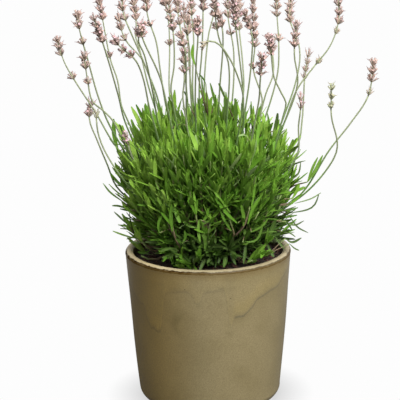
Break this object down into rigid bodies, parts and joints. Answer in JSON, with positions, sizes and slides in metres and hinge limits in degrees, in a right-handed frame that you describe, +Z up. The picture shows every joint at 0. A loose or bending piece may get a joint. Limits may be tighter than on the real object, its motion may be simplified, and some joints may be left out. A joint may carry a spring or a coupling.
{
  "type": "potted lavender plant",
  "caption": "Flowering lavender with slender leafy shoots and tall flower spikes, rooted in potting soil in a tapered round glazed stoneware pot.",
  "frame": {"origin": "centre of the pot's flat foot, on the surface that the pot stands on", "axes": "+Z up along the pot's axis towards the flowers, +X to the right and -Y towards the viewer, in front of the pot"},
  "size_m": [0.3811, 0.2903, 0.5079],
  "materials": {
    "stoneware_glaze": "satin brown and olive glaze with a cream rim",
    "potting_soil": "loose dark peat and bark",
    "lavender_wood": "rough grey-brown bark",
    "lavender_leaf": "matte grass green leaf",
    "lavender_stalk": "thin grey-green stem",
    "lavender_flower": "downy dusty pink calyces and pale petals"
  },
  "bodies": {
    "root": {"flower_spike_01": "lavender_flower", "flower_spike_02": "lavender_flower", "flower_spike_03": "lavender_flower", "flower_spike_04": "lavender_flower", "flower_spike_05": "lavender_flower", "flower_spike_06": "lavender_flower", "flower_spike_07": "lavender_flower", "flower_spike_08": "lavender_flower", "flower_spike_09": "lavender_flower", "flower_spike_10": "lavender_flower", "flower_spike_11": "lavender_flower", "flower_spike_12": "lavender_flower", "flower_spike_13": "lavender_flower", "flower_spike_14": "lavender_flower", "flower_spike_15": "lavender_flower", "flower_spike_16": "lavender_flower", "flower_spike_17": "lavender_flower", "flower_spike_18": "lavender_flower", "flower_spike_19": "lavender_flower", "flower_spike_20": "lavender_flower", "flower_stalk_01": "lavender_stalk", "flower_stalk_02": "lavender_stalk", "flower_stalk_03": "lavender_stalk", "flower_stalk_04": "lavender_stalk", "flower_stalk_05": "lavender_stalk", "flower_stalk_06": "lavender_stalk", "flower_stalk_07": "lavender_stalk", "flower_stalk_08": "lavender_stalk", "flower_stalk_09": "lavender_stalk", "flower_stalk_10": "lavender_stalk", "flower_stalk_11": "lavender_stalk", "flower_stalk_12": "lavender_stalk", "flower_stalk_13": "lavender_stalk", "flower_stalk_14": "lavender_stalk", "flower_stalk_15": "lavender_stalk", "flower_stalk_16": "lavender_stalk", "flower_stalk_17": "lavender_stalk", "flower_stalk_18": "lavender_stalk", "flower_stalk_19": "lavender_stalk", "flower_stalk_20": "lavender_stalk", "leafy_shoot_01": "lavender_leaf", "leafy_shoot_02": "lavender_leaf", "leafy_shoot_03": "lavender_leaf", "leafy_shoot_04": "lavender_leaf", "leafy_shoot_05": "lavender_leaf", "leafy_shoot_06": "lavender_leaf", "leafy_shoot_07": "lavender_leaf", "leafy_shoot_08": "lavender_leaf", "leafy_shoot_09": "lavender_leaf", "leafy_shoot_10": "lavender_leaf", "leafy_shoot_11": "lavender_leaf", "leafy_shoot_12": "lavender_leaf", "leafy_shoot_13": "lavender_leaf", "leafy_shoot_14": "lavender_leaf", "leafy_shoot_15": "lavender_leaf", "leafy_shoot_16": "lavender_leaf", "leafy_shoot_17": "lavender_leaf", "pot": "stoneware_glaze", "potting_soil": "potting_soil", "woody_crown": "lavender_wood"}
  },
  "joints": []
}
